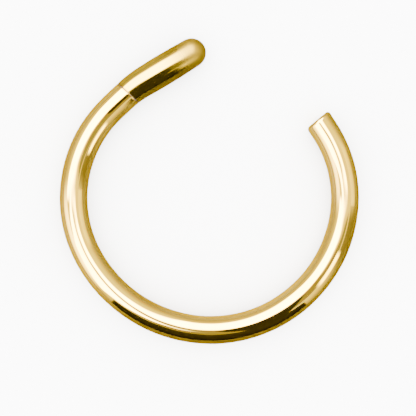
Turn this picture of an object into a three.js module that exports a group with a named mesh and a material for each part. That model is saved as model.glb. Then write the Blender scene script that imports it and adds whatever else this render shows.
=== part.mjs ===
// An open nose hoop lying on its side: a round wire bent to a C, cut blunt at one end, with a slim
// domed stopper cap pressed onto a turned-down tenon at the other end.
// Each piece is turned straight, as round bar is, and then bent along one shared centreline.
import * as THREE from "three";

// ---- Driving dimensions, in millimetres and degrees ----
const WIRE_DIAMETER = 0.81;
const SHOULDER_EDGE = 0.015; // rounding where the wire meets the cap
const CUT_EDGE = 0.1; // rounding of the blunt end
const CUT_LEAN = 6; // how far the cut is off square

const TENON_DIAMETER = 0.5;
const TENON_LENGTH = 1.2;
const FIT_GAP = 0.02; // between the tenon and its socket, and along the joint line

const CAP_LENGTH = 2.59;
const CAP_DIAMETER = 0.89; // at the fullest part of its barrel
const CAP_FULLEST_AT = 1.4; // from the tip
const CAP_SIDE_RADIUS = 18.4; // of the long arc that makes the barrel
const CAP_RIM_EDGE = 0.04;
const CAP_DOME_LENGTH = 0.43;
const JOINT_LEAN = 6.7; // how far the joint line is off square

const LEAN_FADE = 0.7; // a lean dies away this far from its end or joint

// The centreline from the cap's tip to the cut end, seen from above: tangent arcs run one into the
// next, and a turn of 0 is straight. Turns are anticlockwise.
const TIP = { x: -0.15, y: 4.42, heading: 211.2 };
const BENDS = [
  { length: 2.0, turn: 0 },
  { length: 0.59, turn: 10 },
  { length: 0.7, turn: 3.5 },
  { length: 4.57, turn: 73.5 },
  { length: 3.9, turn: 55.5 },
  { length: 5.98, turn: 88.7 },
  { length: 2.43, turn: 39.8 },
  { length: 0.46, turn: 1.7 },
];

// ---- Fineness of the facets ----
const SIDES = 24;
const STATION_SPACING = 0.2;
const EDGE_STEPS = 3;
const DOME_STEPS = 8;

const radians = THREE.MathUtils.degToRad;
const endOfLine = BENDS.reduce((sum, bend) => sum + bend.length, 0);

// The point and the heading of the centreline at a distance s from the tip.
function centreline(s) {
  let { x, y } = TIP;
  let heading = radians(TIP.heading);
  let left = s;
  for (const [row, bend] of BENDS.entries()) {
    const last = row === BENDS.length - 1;
    const run = last ? left : Math.min(left, bend.length);
    const turned = (radians(bend.turn) * run) / bend.length;
    const half = turned / 2;
    const chord = half === 0 ? run : (run * Math.sin(half)) / half;
    x += chord * Math.cos(heading + half);
    y += chord * Math.sin(heading + half);
    heading += turned;
    left -= run;
    if (left <= 0) break;
  }
  return { x, y, heading };
}

// The tangent of a section's lean: full at the joint and at the cut, and fading away from them.
function leanAt(s) {
  const atJoint = Math.max(0, 1 - Math.abs(s - CAP_LENGTH) / LEAN_FADE);
  const atCut = Math.max(0, 1 - Math.abs(s - endOfLine) / LEAN_FADE);
  return (
    atJoint * Math.tan(radians(JOINT_LEAN)) +
    atCut * Math.tan(radians(CUT_LEAN))
  );
}

// Turns a profile of (radius, distance from the tip) points round its axis, with a flat side facing
// down and each flat touching the true round, and bends the straight bar along the centreline.
function turnAndBend(profile) {
  const cornerScale = 1 / Math.cos(Math.PI / SIDES);
  const points = profile.map(
    ([radius, s]) => new THREE.Vector2(radius * cornerScale, s),
  );
  const geometry = new THREE.LatheGeometry(points, SIDES, Math.PI / SIDES);
  const position = geometry.getAttribute("position");
  for (let i = 0; i < position.count; i += 1) {
    const outward = position.getX(i);
    const s = position.getY(i);
    const up = position.getZ(i);
    const { x, y, heading } = centreline(s);
    const along = outward * leanAt(s);
    position.setXYZ(
      i,
      x + outward * Math.sin(heading) + along * Math.cos(heading),
      y - outward * Math.cos(heading) + along * Math.sin(heading),
      up,
    );
  }
  geometry.computeVertexNormals();
  return geometry;
}

// Points at even spacing between two distances, ends included, on a side of the given radius.
function side(from, to, radiusAt) {
  const steps = Math.ceil(Math.abs(to - from) / STATION_SPACING);
  return Array.from({ length: steps + 1 }, (_, i) => {
    const s = from + ((to - from) * i) / steps;
    return [radiusAt(s), s];
  });
}

// A quarter round of the given size, from the start angle to the end angle about its centre, as an
// ellipse: the first size is along the radius and the second along the axis.
function round([centreRadius, centreS], [across, along], [start, end], steps) {
  return Array.from({ length: steps + 1 }, (_, i) => {
    const angle = radians(start + ((end - start) * i) / steps);
    return [
      centreRadius + across * Math.cos(angle),
      centreS + along * Math.sin(angle),
    ];
  });
}

// ---- The hoop wire: tenon, shoulder, long round body and blunt cut end ----
function makeHoopWire() {
  const radius = WIRE_DIAMETER / 2;
  const tenonRadius = TENON_DIAMETER / 2;
  const shoulderAt = CAP_LENGTH + FIT_GAP;
  const tenonEndsAt = shoulderAt - TENON_LENGTH;
  const shoulderEdge = round(
    [radius - SHOULDER_EDGE, shoulderAt + SHOULDER_EDGE],
    [SHOULDER_EDGE, SHOULDER_EDGE],
    [-90, 0],
    EDGE_STEPS,
  );
  const cutEdge = round(
    [radius - CUT_EDGE, endOfLine - CUT_EDGE],
    [CUT_EDGE, CUT_EDGE],
    [0, 90],
    EDGE_STEPS,
  );
  const body = side(
    shoulderAt + SHOULDER_EDGE,
    endOfLine - CUT_EDGE,
    () => radius,
  );
  return turnAndBend([
    [0, tenonEndsAt],
    ...side(tenonEndsAt, shoulderAt, () => tenonRadius),
    ...shoulderEdge,
    ...body.slice(1, -1),
    ...cutEdge,
    [0, endOfLine],
  ]);
}

// ---- The stopper cap: domed tip, gently barrelled side, rounded rim and blind socket ----
function makeStopperCap() {
  const socketRadius = TENON_DIAMETER / 2 + FIT_GAP;
  const socketEndsAt = CAP_LENGTH - TENON_LENGTH;
  const barrelRadius = (s) =>
    CAP_DIAMETER / 2 - (s - CAP_FULLEST_AT) ** 2 / (2 * CAP_SIDE_RADIUS);
  const rimStartsAt = CAP_LENGTH - CAP_RIM_EDGE;
  const dome = round(
    [0, CAP_DOME_LENGTH],
    [barrelRadius(CAP_DOME_LENGTH), CAP_DOME_LENGTH],
    [-90, 0],
    DOME_STEPS,
  );
  const rim = round(
    [barrelRadius(rimStartsAt) - CAP_RIM_EDGE, rimStartsAt],
    [CAP_RIM_EDGE, CAP_RIM_EDGE],
    [0, 90],
    EDGE_STEPS,
  );
  return turnAndBend([
    ...dome,
    ...side(CAP_DOME_LENGTH, rimStartsAt, barrelRadius).slice(1, -1),
    ...rim,
    ...side(CAP_LENGTH, socketEndsAt, () => socketRadius),
    [0, socketEndsAt],
  ]);
}

// Polished yellow gold-coloured plating over steel.
const wireFinish = new THREE.MeshStandardMaterial({
  color: 0xd9b65f,
  roughness: 0.12,
  metalness: 1,
});
const capFinish = new THREE.MeshStandardMaterial({
  color: 0xd2aa46,
  roughness: 0.15,
  metalness: 1,
});

const hoopWire = new THREE.Mesh(makeHoopWire(), wireFinish);
hoopWire.name = "hoop_wire";
const stopperCap = new THREE.Mesh(makeStopperCap(), capFinish);
stopperCap.name = "stopper_cap";

const ring = new THREE.Group();
ring.add(hoopWire, stopperCap);

// The origin is the middle of the ring's footprint, on the surface it lies on.
const box = new THREE.Box3().setFromObject(ring);
const middle = box.getCenter(new THREE.Vector3());
ring.position.set(-middle.x, -middle.y, -box.min.z);

const noseHoop = new THREE.Group();
noseHoop.add(ring);

export default noseHoop;
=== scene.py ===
"""An open nose hoop of round gold-plated wire with a slim domed stopper cap, lying on a pale floor."""

import bpy
import numpy as np
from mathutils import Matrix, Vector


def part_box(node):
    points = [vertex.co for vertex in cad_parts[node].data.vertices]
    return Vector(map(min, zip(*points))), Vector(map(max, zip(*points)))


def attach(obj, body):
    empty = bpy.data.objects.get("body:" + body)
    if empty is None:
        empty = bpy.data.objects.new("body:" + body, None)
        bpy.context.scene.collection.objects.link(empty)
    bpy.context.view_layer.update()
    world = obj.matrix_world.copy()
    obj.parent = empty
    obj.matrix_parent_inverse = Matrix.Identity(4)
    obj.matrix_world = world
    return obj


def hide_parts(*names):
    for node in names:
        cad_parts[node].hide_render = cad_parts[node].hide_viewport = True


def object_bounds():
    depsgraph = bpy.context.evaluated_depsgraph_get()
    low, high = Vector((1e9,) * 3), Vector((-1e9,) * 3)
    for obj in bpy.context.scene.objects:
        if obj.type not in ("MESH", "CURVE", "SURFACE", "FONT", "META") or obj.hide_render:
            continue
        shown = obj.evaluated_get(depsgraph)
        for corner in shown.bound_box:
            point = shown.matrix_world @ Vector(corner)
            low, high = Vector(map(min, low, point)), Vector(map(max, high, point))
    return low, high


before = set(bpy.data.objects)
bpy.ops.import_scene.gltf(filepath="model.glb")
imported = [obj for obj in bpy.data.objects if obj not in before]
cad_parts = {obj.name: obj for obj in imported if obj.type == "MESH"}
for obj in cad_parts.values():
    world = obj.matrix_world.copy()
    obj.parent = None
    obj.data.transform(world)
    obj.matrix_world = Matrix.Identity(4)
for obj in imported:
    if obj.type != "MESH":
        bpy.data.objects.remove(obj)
cad_low, cad_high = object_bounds()

# ---------------------------------------------------------------------------------------------
# Hoop wire: round steel wire, drawn through a die, bent round a mandrel to an open hoop and
# plated a yellow gold colour. One end is cut blunt and its edge tumbled round. The other end is
# turned down to a tenon that holds the stopper cap. Sizes are in millimetres and degrees.
# ---------------------------------------------------------------------------------------------
MM = 0.001  # in metres

# The centreline from the cap's tip to the cut end, seen from above: tangent arcs run one into the
# next, a turn of 0 is straight, and turns are anticlockwise.
TIP_X, TIP_Y, TIP_HEADING = -0.15, 4.42, 211.2
BEND_LENGTHS = np.array([2.0, 0.59, 0.7, 4.57, 3.9, 5.98, 2.43, 0.46])
BEND_TURNS = np.radians([0.0, 10.0, 3.5, 73.5, 55.5, 88.7, 39.8, 1.7])
LINE_LENGTH = BEND_LENGTHS.sum()

CAP_LENGTH = 2.59
WIRE_RADIUS = 0.405
TENON_RADIUS = 0.25
TENON_LENGTH = 1.2
FIT_GAP = 0.005  # between the tenon and its socket, and along the joint line
SHOULDER_EDGE = 0.01  # rounding where the wire meets the cap
CUT_EDGE = 0.1  # rounding of the blunt end
JOINT_LEAN = np.tan(np.radians(6.7))  # how far the joint line is off square
CUT_LEAN = np.tan(np.radians(6.0))  # how far the cut is off square
LEAN_FADE = 0.7  # a lean dies away this far from its joint or cut
SIDES = 96  # points round the bar
STATION = 0.036  # from one ring of points to the next
HIDDEN_STATION = 0.08  # the same inside the joint


def centreline(s):
    """Point and heading of the bent centreline at distances s from the cap's tip.

    Each bend is an arc: over a run of it the point moves along a chord, whose length is the run
    times the sine of half the turn over half the turn, in the direction half way through the turn.
    """
    starts = np.concatenate([[0.0], np.cumsum(BEND_LENGTHS)])
    headings = np.radians(TIP_HEADING) + np.concatenate([[0.0], np.cumsum(BEND_TURNS)])
    chords = BEND_LENGTHS * np.sinc(BEND_TURNS / 2 / np.pi)
    middles = headings[:-1] + BEND_TURNS / 2
    knot_x = TIP_X + np.concatenate([[0.0], np.cumsum(chords * np.cos(middles))])
    knot_y = TIP_Y + np.concatenate([[0.0], np.cumsum(chords * np.sin(middles))])
    row = np.clip(np.searchsorted(starts, s, side="right") - 1, 0, len(BEND_LENGTHS) - 1)
    run = s - starts[row]
    turned = BEND_TURNS[row] * run / BEND_LENGTHS[row]
    chord = run * np.sinc(turned / 2 / np.pi)
    middle = headings[row] + turned / 2
    x = knot_x[row] + chord * np.cos(middle)
    y = knot_y[row] + chord * np.sin(middle)
    return x, y, headings[row] + turned


def bend_bar(radius, s, ripple):
    """Vertices of a turned bar bent along the centreline, and each vertex's place on the straight bar.

    A ring of points stands round the axis at every station, its radius swelled by the ripple. A
    point so far outward and so far up goes to the centreline's point plus that much of the outward
    and the upward direction. Near the joint and the cut a section leans: a point slides along the
    wire by its outward distance times the lean. The first and last stations are single points.
    """
    angle = np.arange(SIDES) * 2 * np.pi / SIDES
    around, station = np.meshgrid(angle, s[1:-1])
    swelled = radius[1:-1, None] * (1 + ripple(station, around))
    outward = np.concatenate([[0.0], (swelled * np.cos(around)).ravel(), [0.0]])
    up = np.concatenate([[0.0], (swelled * np.sin(around)).ravel(), [0.0]])
    along = np.concatenate([[s[0]], station.ravel(), [s[-1]]])
    x, y, heading = centreline(along)
    lean = JOINT_LEAN * np.maximum(0, 1 - np.abs(along - CAP_LENGTH) / LEAN_FADE)
    lean += CUT_LEAN * np.maximum(0, 1 - np.abs(along - LINE_LENGTH) / LEAN_FADE)
    slide = outward * lean
    points = np.stack(
        [
            x + outward * np.sin(heading) + slide * np.cos(heading),
            y - outward * np.cos(heading) + slide * np.sin(heading),
            up,
        ],
        axis=1,
    )
    return points, np.stack([outward, up, along], axis=1)


def bar_faces(stations):
    """Quads between neighbouring rings, and a fan of triangles from each end point to its ring."""
    rings = stations - 2
    column = np.arange(SIDES)
    following = (column + 1) % SIDES
    first = 1 + np.arange(rings - 1)[:, None] * SIDES
    quads = np.stack(
        [first + following, first + column, first + SIDES + column, first + SIDES + following],
        axis=2,
    ).reshape(-1, 4)
    last_ring = 1 + (rings - 1) * SIDES
    last_point = 1 + rings * SIDES
    start_fan = np.stack([np.zeros(SIDES, int), 1 + column, 1 + following], axis=1)
    end_fan = np.stack([np.full(SIDES, last_point), last_ring + following, last_ring + column], axis=1)
    return quads, np.concatenate([start_fan, end_fan])


def make_bar(name, profile, ripple):
    """A closed mesh of a turned profile bent along the centreline, shaded smooth.

    The profile's rows are radius and distance. Its points are moved to where the bar lies and put in
    the mesh in metres, and each vertex keeps its place on the straight bar, in millimetres, in the
    attribute "bar".
    """
    radius, s = profile.T
    points, bar = bend_bar(radius, s, ripple)
    quads, triangles = bar_faces(len(s))
    mesh = bpy.data.meshes.new(name)
    corners = np.concatenate([quads.ravel(), triangles.ravel()])
    sizes = np.concatenate([np.full(len(quads), 4), np.full(len(triangles), 3)])
    mesh.vertices.add(len(points))
    mesh.loops.add(len(corners))
    mesh.polygons.add(len(sizes))
    mesh.vertices.foreach_set("co", ((points + bar_offset) * MM).ravel())
    mesh.loops.foreach_set("vertex_index", corners)
    mesh.polygons.foreach_set("loop_start", np.concatenate([[0], np.cumsum(sizes)[:-1]]))
    mesh.polygons.foreach_set("use_smooth", np.ones(len(sizes), bool))
    mesh.attributes.new("bar", "FLOAT_VECTOR", "POINT").data.foreach_set("vector", bar.ravel())
    mesh.update(calc_edges=True)
    mesh.validate()
    piece = bpy.data.objects.new(name, mesh)
    bpy.context.scene.collection.objects.link(piece)
    return piece


def straight(radius, start, end, spacing):
    """Rows from one (radius, distance) to another of the same radius, at even spacing."""
    s = np.linspace(start, end, int(np.ceil(abs(end - start) / spacing)) + 1)
    return np.stack([np.full_like(s, radius), s], axis=1)


def rounded(radius, centre_s, along, start, end, steps, across=None):
    """Rows on a quarter ellipse inside a radius: its centre plus its half sizes times cosine and sine.

    It is as far across as it is along, unless told otherwise. Start and end are in degrees.
    """
    across = along if across is None else across
    angle = np.radians(np.linspace(start, end, steps + 1))
    return np.stack([radius - across + across * np.cos(angle), centre_s + along * np.sin(angle)], axis=1)


def face(inner, outer, s, steps):
    """Rows across a flat face, from one radius to another at the same distance."""
    radius = np.linspace(inner, outer, steps + 1)
    return np.stack([radius, np.full_like(radius, s)], axis=1)


def wire_ripple(s, angle):
    """Drawn wire isn't quite round: an oval that slowly twists, with faint waves from the bending.

    The constant keeps the swell below nothing, so the wire is never fuller than its true round. It
    all fades towards the joint, where the shoulder and the tenon are true.
    """
    oval = 0.005 * np.cos(2 * angle - 0.45 * s)
    waves = 0.003 * np.sin(3.1 * s + 1.3 * np.sin(angle)) + 0.001 * np.sin(7.3 * s - angle)
    settled = np.clip((s - CAP_LENGTH) / 0.8, 0, 1)
    return settled * (oval + waves - 0.009)


shoulder_at = CAP_LENGTH + FIT_GAP
tenon_ends_at = shoulder_at - TENON_LENGTH
wire_profile = np.concatenate(
    [
        face(0, TENON_RADIUS, tenon_ends_at, 3),
        straight(TENON_RADIUS, tenon_ends_at, shoulder_at, HIDDEN_STATION)[1:],
        face(TENON_RADIUS, WIRE_RADIUS - SHOULDER_EDGE, shoulder_at, 4)[1:],
        rounded(WIRE_RADIUS, shoulder_at + SHOULDER_EDGE, SHOULDER_EDGE, -90, 0, 6)[1:],
        straight(WIRE_RADIUS, shoulder_at + SHOULDER_EDGE, LINE_LENGTH - CUT_EDGE, STATION)[1:],
        rounded(WIRE_RADIUS, LINE_LENGTH - CUT_EDGE, CUT_EDGE, 0, 90, 14)[1:],
        face(WIRE_RADIUS - CUT_EDGE, 0, LINE_LENGTH, 8)[1:],
    ]
)

# The CAD wire's box says where the bar lies: its low corner is the low corner of the bent profile.
bare_points, _ = bend_bar(*wire_profile.T, lambda s, angle: 0 * s)
node_low, node_high = (np.array(corner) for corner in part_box("hoop_wire"))
bar_offset = node_low / MM - bare_points.min(axis=0)


class Value:
    """A socket in a node tree. Arithmetic on it adds Math nodes to the tree."""

    def __init__(self, tree, socket=None):
        self.tree = tree
        self.socket = socket

    def node(self, kind, settings, sockets, output=0):
        """Adds a node: its settings first, then the value or link of each socket. Gives one output.

        A socket is given by its place or its identifier, because a Mix node's sockets share names.
        """
        made = self.tree.nodes.new(kind)
        for name, setting in settings.items():
            setattr(made, name, setting)
        identified = {socket.identifier: socket for socket in made.inputs}
        for name, given in sockets.items():
            socket = made.inputs[name] if isinstance(name, int) else identified[name]
            if isinstance(given, Value):
                self.tree.links.new(given.socket, socket)
            else:
                socket.default_value = given
        return Value(self.tree, made.outputs[output] if len(made.outputs) else None)

    def math(self, operation, *terms):
        """A Math node on the given terms."""
        return self.node("ShaderNodeMath", {"operation": operation}, dict(enumerate(terms)))

    def __add__(self, other):
        return self.math("ADD", self, other)

    def __radd__(self, other):
        return self.math("ADD", other, self)

    def __sub__(self, other):
        return self.math("SUBTRACT", self, other)

    def __rsub__(self, other):
        return self.math("SUBTRACT", other, self)

    def __mul__(self, other):
        return self.math("MULTIPLY", self, other)

    def __rmul__(self, other):
        return self.math("MULTIPLY", other, self)

    def __abs__(self):
        return self.math("ABSOLUTE", self)

    def ramp(self, low, high):
        """0 below low and 1 above high, with a smooth change between; low above high turns it round."""
        return self.node(
            "ShaderNodeMapRange",
            {"interpolation_type": "SMOOTHSTEP"},
            {"Value": self, "From Min": low, "From Max": high},
        )

    def blend(self, without, full):
        """A colour: the first where this value is 0, and the second where it is 1."""
        return self.node(
            "ShaderNodeMix",
            {"data_type": "RGBA"},
            {"Factor_Float": self, "A_Color": without, "B_Color": full},
            output=2,
        )

    def noise(self, place, scale, detail, stretch=(1, 1, 1)):
        """Noise from 0 to 1 at a place, whose three directions are stretched first."""
        stretched = self.node("ShaderNodeVectorMath", {"operation": "MULTIPLY"}, {0: place, 1: stretch})
        return self.node("ShaderNodeTexNoise", {}, {"Vector": stretched, "Scale": scale, "Detail": detail})


EDGE_TINT = (0.9, 0.62, 0.08, 1)
# Painted shade: a dark gold that the cap's tip is blended to, which dims its highlight.
TIP_GOLD_PAINTED_SHADE = (0.25, 0.155, 0.006, 1)
# Painted shade: a dark gold laid along the joint line, where the crease between cap and wire is in shade.
JOINT_GOLD_PAINTED_SHADE = (0.3, 0.17, 0.008, 1)


def new_material(name):
    """A material with no nodes yet, and a value in its tree to add them with."""
    material = bpy.data.materials.new(name)
    material.use_nodes = True
    material.node_tree.nodes.clear()
    return material, Value(material.node_tree)


def gold_plate(name, light_gold, deep_gold, polish):
    """Polished plating: gold that varies softly in depth, with drawing lines and fine scratches.

    The place is that of the straight bar in millimetres: outward, up and along. Drawing lines are
    noise drawn out along the bar, and scratches are noise drawn out across it. Towards the cap's
    tip the plating is rougher and its gold is darkened as painted shade; along the joint the gold
    is darkened as painted shade in the crease, and rougher; the cut face is rougher. Polish is the
    least roughness.
    """
    material, start = new_material(name)
    bar = start.node("ShaderNodeAttribute", {"attribute_name": "bar"}, {}, output="Vector")
    along = start.node("ShaderNodeSeparateXYZ", {}, {0: bar}, output="Z")

    patches = start.noise(bar, 1.1, 3.0)
    drawing_lines = start.noise(bar, 26.0, 3.0, (1, 1, 0.02))
    scratches = start.noise(bar, 34.0, 2.0, (0.12, 1, 0.5))
    grain = start.noise(bar, 60.0, 2.0)

    near_joint = abs(along - CAP_LENGTH).ramp(0.06, 0.02)
    cut_face = (LINE_LENGTH - along).ramp(0.03, 0.005)

    depth = (patches * 0.8 + drawing_lines * 0.35 - 0.1).ramp(0.3, 0.8)
    # Painted shade: towards the cap's tip the gold is darkened, which dims the highlight there.
    tip_painted_shade = along.ramp(1.6, 0.35)
    gold = tip_painted_shade.blend(depth.blend(light_gold, deep_gold), TIP_GOLD_PAINTED_SHADE)
    # Painted shade: the gold is darkened along the joint, standing in for the shade in the crease.
    gold_with_painted_shade = (near_joint * 0.7).blend(gold, JOINT_GOLD_PAINTED_SHADE)
    roughness = (
        polish
        + drawing_lines * 0.02
        + scratches.ramp(0.55, 0.75) * 0.03
        + near_joint * 0.08
        + along.ramp(1.3, 0.3) * 0.34
        + cut_face * 0.12
    )
    lines = drawing_lines + scratches * 0.3
    lined = start.node("ShaderNodeBump", {}, {"Strength": 0.05, "Distance": 0.004 * MM, "Height": lines})
    grains = grain + cut_face * scratches * 6
    surface = start.node(
        "ShaderNodeBump",
        {},
        {"Strength": 0.04, "Distance": 0.003 * MM, "Height": grains, "Normal": lined},
    )
    finish = start.node(
        "ShaderNodeBsdfPrincipled",
        {},
        {
            "Base Color": gold_with_painted_shade,
            "Metallic": 1.0,
            "Roughness": roughness,
            "Specular Tint": EDGE_TINT,
            "Normal": surface,
        },
    )
    start.node("ShaderNodeOutputMaterial", {}, {"Surface": finish})
    return material


WIRE_GOLD = (1.0, 0.62, 0.045, 1)
WIRE_DEEP_GOLD = (0.94, 0.56, 0.022, 1)
WIRE_POLISH = 0.015

wire_plate = gold_plate("gold_plated_wire", WIRE_GOLD, WIRE_DEEP_GOLD, WIRE_POLISH)
hoop_wire = make_bar("polished_hoop_wire", wire_profile, wire_ripple)
hoop_wire.data.materials.append(wire_plate)
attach(hoop_wire, "root")
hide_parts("hoop_wire")

# ---------------------------------------------------------------------------------------------
# Stopper cap: a slim steel cap, turned with a domed tip and a barrelled side a little fuller than
# the wire, and pressed onto the tenon, which fills its blind socket. Its gold is set darker than the
# wire's as painted shade, which dims its highlight. Its rounded rim stands a hair off the wire's
# shoulder, which leaves the fine joint line.
# ---------------------------------------------------------------------------------------------
CAP_RADIUS = 0.445  # at the fullest part of its barrel
CAP_FULLEST_AT = 1.4  # from the tip
CAP_SIDE_RADIUS = 18.4  # of the long arc that makes the barrel
CAP_RIM_EDGE = 0.02  # rounding of the rim
CAP_DOME_LENGTH = 0.43
CAP_SIDE_STATIONS = 70
# Painted shade: the cap's gold is set darker than the wire's, which dims its highlight.
CAP_GOLD_PAINTED_SHADE = (0.62, 0.4, 0.02, 1)
CAP_DEEP_GOLD_PAINTED_SHADE = (0.5, 0.31, 0.01, 1)
CAP_POLISH = 0.05


def barrel_radius(s):
    """The cap's radius: the greatest, less the square of the distance from there over two arc radii."""
    return CAP_RADIUS - (s - CAP_FULLEST_AT) ** 2 / (2 * CAP_SIDE_RADIUS)


def cap_ripple(s, angle):
    """The cap is polished by hand: its side has slight flats that fade at the tip and at the rim.

    The constant keeps the swell below nothing, as on the wire.
    """
    settled = np.clip(s / 0.6, 0, 1) * np.clip((CAP_LENGTH - s) / 0.3, 0, 1)
    return settled * (0.004 * np.cos(2 * angle + 0.8) + 0.0015 * np.sin(5.0 * s + 2 * angle) - 0.0055)


rim_starts_at = CAP_LENGTH - CAP_RIM_EDGE
socket_ends_at = CAP_LENGTH - TENON_LENGTH
socket_radius = TENON_RADIUS + FIT_GAP
dome_radius = barrel_radius(CAP_DOME_LENGTH)
rim_radius = barrel_radius(rim_starts_at)
side_s = np.linspace(CAP_DOME_LENGTH, rim_starts_at, CAP_SIDE_STATIONS)
cap_profile = np.concatenate(
    [
        rounded(dome_radius, CAP_DOME_LENGTH, CAP_DOME_LENGTH, -90, 0, 36, across=dome_radius),
        np.stack([barrel_radius(side_s), side_s], axis=1)[1:],
        rounded(rim_radius, rim_starts_at, CAP_RIM_EDGE, 0, 90, 10)[1:],
        face(rim_radius - CAP_RIM_EDGE, socket_radius, CAP_LENGTH, 4)[1:],
        straight(socket_radius, CAP_LENGTH, socket_ends_at, HIDDEN_STATION)[1:],
        face(socket_radius, 0, socket_ends_at, 3)[1:],
    ]
)
cap_plate = gold_plate("gold_plated_cap", CAP_GOLD_PAINTED_SHADE, CAP_DEEP_GOLD_PAINTED_SHADE, CAP_POLISH)
stopper_cap = make_bar("polished_stopper_cap", cap_profile, cap_ripple)
stopper_cap.data.materials.append(cap_plate)
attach(stopper_cap, "root")
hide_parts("stopper_cap")

# Neither piece is mirrored in the other or in itself, which keeps the bands in the gold clean.
hoop_wire.visible_glossy = False
stopper_cap.visible_glossy = False

# ---------------------------------------------------------------------------------------------
# Floor: a wide pale matt board that the hoop lies on. Polished metal sees its surroundings, so a
# darker satin board lies in the same place for reflections only.
# ---------------------------------------------------------------------------------------------
FLOOR_HALF = 0.6  # in metres


def make_sheet(name, corners, material):
    """One flat rectangle through four corners in metres, with a map from 0 to 1 across and up it."""
    mesh = bpy.data.meshes.new(name)
    mesh.from_pydata([tuple(corner) for corner in corners], [], [(0, 1, 2, 3)])
    mesh.uv_layers.new(name="sheet").data.foreach_set("uv", [0, 0, 1, 0, 1, 1, 0, 1])
    mesh.materials.append(material)
    sheet = bpy.data.objects.new(name, mesh)
    bpy.context.scene.collection.objects.link(sheet)
    return sheet


def show_to(sheet, camera, diffuse, glossy, shadow):
    """Sets which kinds of ray see a sheet."""
    sheet.visible_camera = camera
    sheet.visible_diffuse = diffuse
    sheet.visible_glossy = glossy
    sheet.visible_transmission = False
    sheet.visible_shadow = shadow


def board(name, colour, roughness, metallic):
    """Paint for a board, with the faintest mottle."""
    material, start = new_material(name)
    place = start.node("ShaderNodeTexCoord", {}, {}, output="Object")
    mottle = start.noise(place, 300.0, 2.0)
    paler = tuple(channel * 1.02 for channel in colour[:3]) + (1,)
    finish = start.node(
        "ShaderNodeBsdfPrincipled",
        {},
        {"Base Color": mottle.blend(colour, paler), "Roughness": roughness, "Metallic": metallic},
    )
    start.node("ShaderNodeOutputMaterial", {}, {"Surface": finish})
    return material


floor_z = cad_low.z
floor_corners = [
    (-FLOOR_HALF, -FLOOR_HALF, floor_z),
    (FLOOR_HALF, -FLOOR_HALF, floor_z),
    (FLOOR_HALF, FLOOR_HALF, floor_z),
    (-FLOOR_HALF, FLOOR_HALF, floor_z),
]
pale_board = board("pale_board", (0.86, 0.86, 0.86, 1), 0.9, 0.0)
floor = make_sheet("floor", floor_corners, pale_board)
show_to(floor, camera=True, diffuse=True, glossy=False, shadow=True)
satin_board = board("satin_board", (0.07, 0.07, 0.07, 1), 0.4, 0.5)
mirrored_floor = make_sheet("floor_in_metal", floor_corners, satin_board)
show_to(mirrored_floor, camera=False, diffuse=False, glossy=True, shadow=False)

# ---------------------------------------------------------------------------------------------
# Studio: broad softboxes overhead and cards standing round the hoop, which the polished metal
# mirrors, inside a pale tent that lights the floor evenly.
# ---------------------------------------------------------------------------------------------
NEUTRAL = (1, 1, 1, 1)
DAYLIGHT = (1.0, 1.0, 2.6, 1)


def card_material(name, light, dark, softness, arch, colour):
    """A lit sheet with soft edges: how far each point lies inside the edge sets how solid it is.

    Light is the brightness at the top and dark at the bottom. Softness is the share of the sheet
    that fades at its sides, top and bottom. An arched card's top edge falls from the full height in
    the middle to the arch's share of it at the sides, as an ellipse.
    """
    soft_sides, soft_top, soft_bottom = softness
    material, start = new_material(name)
    place = start.node("ShaderNodeUVMap", {}, {})
    across = start.node("ShaderNodeSeparateXYZ", {}, {0: place}, output="X")
    up = start.node("ShaderNodeSeparateXYZ", {}, {0: place}, output="Y")
    from_middle = abs(across * 2 - 1)
    ellipse = 1 - from_middle * from_middle
    top = ellipse.math("SQRT", ellipse) * (1 - arch) + arch
    inside = from_middle.ramp(1, 1 - 2 * soft_sides) * (top - up).ramp(0, soft_top)
    mask = inside * up.ramp(0, soft_bottom)
    streaks = start.noise(place, 7.0, 3.0, (1, 0.12, 1))
    level = (dark + (light - dark) * up) * (0.75 + streaks * 0.5)
    glow = start.node("ShaderNodeEmission", {}, {"Color": colour, "Strength": level})
    clear = start.node("ShaderNodeBsdfTransparent", {}, {})
    shown = start.node("ShaderNodeMixShader", {}, {0: mask, 1: clear, 2: glow})
    start.node("ShaderNodeOutputMaterial", {}, {"Surface": shown})
    # A card is only mirrored, so it isn't sampled as a lamp.
    material.cycles.emission_sampling = "NONE"
    return material


def hang_softbox(name, centre, size, turn, height, light, softness, colour=NEUTRAL, arch=1.0):
    """A level sheet overhead: centre and size in millimetres, turned anticlockwise by degrees."""
    cosine, sine = np.cos(np.radians(turn)), np.sin(np.radians(turn))
    half_x, half_y = size[0] / 2, size[1] / 2
    corners = [
        (
            (centre[0] + dx * cosine - dy * sine) * MM,
            (centre[1] + dx * sine + dy * cosine) * MM,
            height * MM,
        )
        for dx, dy in ((-half_x, -half_y), (half_x, -half_y), (half_x, half_y), (-half_x, half_y))
    ]
    box = make_sheet(name, corners, card_material(name, light, light, softness, arch, colour))
    show_to(box, camera=False, diffuse=False, glossy=True, shadow=False)


def stand_card(name, azimuth, distance, width, heights, light, dark, softness, arch=1.0, colour=NEUTRAL):
    """An upright sheet square to the hoop: azimuth from +X in degrees, sizes in millimetres."""
    away = np.array([np.cos(np.radians(azimuth)), np.sin(np.radians(azimuth))])
    side = np.array([-away[1], away[0]]) * width / 2
    low, high = heights
    corners = [
        (*((away * distance + sign * side) * MM), height * MM)
        for sign, height in ((-1, low), (1, low), (1, high), (-1, high))
    ]
    card = make_sheet(name, corners, card_material(name, light, dark, softness, arch, colour))
    show_to(card, camera=False, diffuse=False, glossy=True, shadow=False)


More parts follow.
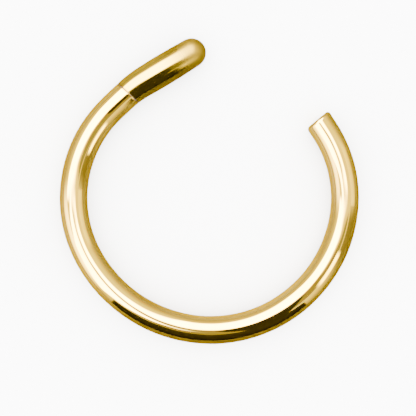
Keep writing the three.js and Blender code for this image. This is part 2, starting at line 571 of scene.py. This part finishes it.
# Overhead, two broad softboxes make the bright bands, and two flags the dark and the tan ones.
hang_softbox(
    "main_softbox", centre=(-24, 49.5), size=(96, 102), turn=0, height=60,
    light=28, softness=(0.12, 0.35, 0.05), colour=DAYLIGHT,
)
hang_softbox(
    "low_softbox", centre=(-48, -31), size=(94, 36), turn=33, height=59,
    light=26, softness=(0.1, 0.15, 0.15), colour=DAYLIGHT,
)
hang_softbox(
    "dark_flag", centre=(19, -39), size=(20, 84), turn=26, height=56,
    light=0.05, softness=(0.06, 0.04, 0.05), arch=0.0,
)
hang_softbox(
    "tan_flag", centre=(2, -24), size=(92, 42), turn=0, height=62,
    light=0.55, softness=(0.1, 0.08, 0.08),
)

# Round the hoop, a small reflector makes one bright spot, a dark and an olive card make the deep
# bands, and two pale fills lift the sides.
stand_card(
    "small_reflector", azimuth=328, distance=9.5, width=3.2, heights=(4, 12),
    light=13, dark=13, softness=(0.2, 0.25, 0.25),
)
stand_card(
    "dark_card", azimuth=270, distance=62, width=114, heights=(-1, 92),
    light=0.08, dark=0.02, softness=(0.02, 0.04, 0.01), arch=0.6,
)
stand_card(
    "olive_card", azimuth=343, distance=70, width=56, heights=(-1, 90),
    light=0.45, dark=0.35, softness=(0.4, 0.25, 0.01),
)
stand_card(
    "left_fill", azimuth=197, distance=70, width=72, heights=(6, 76),
    light=10, dark=7, softness=(0.35, 0.3, 0.3), colour=DAYLIGHT,
)
stand_card(
    "side_fill", azimuth=10, distance=70, width=46, heights=(8, 84),
    light=4.0, dark=2.4, softness=(0.2, 0.3, 0.2),
)

# How bright the tent is to the camera, to the floor that it lights, and overhead in the metal,
# where it falls to the low share at the level of the floor.
TENT_SEEN = 11.0
TENT_LIGHT = 13.0
TENT_IN_METAL = 2.4
TENT_LOW_SHARE = 0.35
world = bpy.data.worlds.new("tent")
bpy.context.scene.world = world
world.use_nodes = True
world.node_tree.nodes.clear()
tent = Value(world.node_tree)
direction = tent.node("ShaderNodeTexCoord", {}, {}, output="Generated")
height = tent.node("ShaderNodeSeparateXYZ", {}, {0: direction}, output="Z")
in_metal = TENT_IN_METAL * (TENT_LOW_SHARE + height.ramp(0.0, 0.75) * (1 - TENT_LOW_SHARE))
camera_ray = tent.node("ShaderNodeLightPath", {}, {}, output="Is Camera Ray")
glossy_ray = tent.node("ShaderNodeLightPath", {}, {}, output="Is Glossy Ray")
unseen = glossy_ray * in_metal + (1 - glossy_ray) * TENT_LIGHT
strength = camera_ray * TENT_SEEN + (1 - camera_ray) * unseen
background = tent.node("ShaderNodeBackground", {}, {"Color": NEUTRAL, "Strength": strength})
tent.node("ShaderNodeOutputWorld", {}, {"Surface": background})

# ---------------------------------------------------------------------------------------------
# Camera: straight above the hoop and looking down on it, a little to the near side of its middle.
# It hangs close, so the near and far parts of the hoop mirror slightly different directions.
# ---------------------------------------------------------------------------------------------
VIEW_WIDTH = 11.98  # across the hoop, at the height of the wire's axis
LOOKS_AT = (-0.035, -0.483)
CAMERA_DISTANCE = 30.0
SENSOR_WIDTH = 36.0
NEAREST_SEEN = 1.0
FARTHEST_SEEN = 2000.0

camera_data = bpy.data.cameras.new("camera")
camera_data.sensor_width = SENSOR_WIDTH
camera_data.lens = SENSOR_WIDTH * CAMERA_DISTANCE / VIEW_WIDTH
camera_data.clip_start = NEAREST_SEEN * MM
camera_data.clip_end = FARTHEST_SEEN * MM
camera = bpy.data.objects.new("camera", camera_data)
bpy.context.scene.collection.objects.link(camera)
axis_height = (node_low[2] + node_high[2]) / 2
camera.location = (LOOKS_AT[0] * MM, LOOKS_AT[1] * MM, axis_height + CAMERA_DISTANCE * MM)
bpy.context.scene.camera = camera

bpy.context.scene.view_settings.view_transform = "AgX"
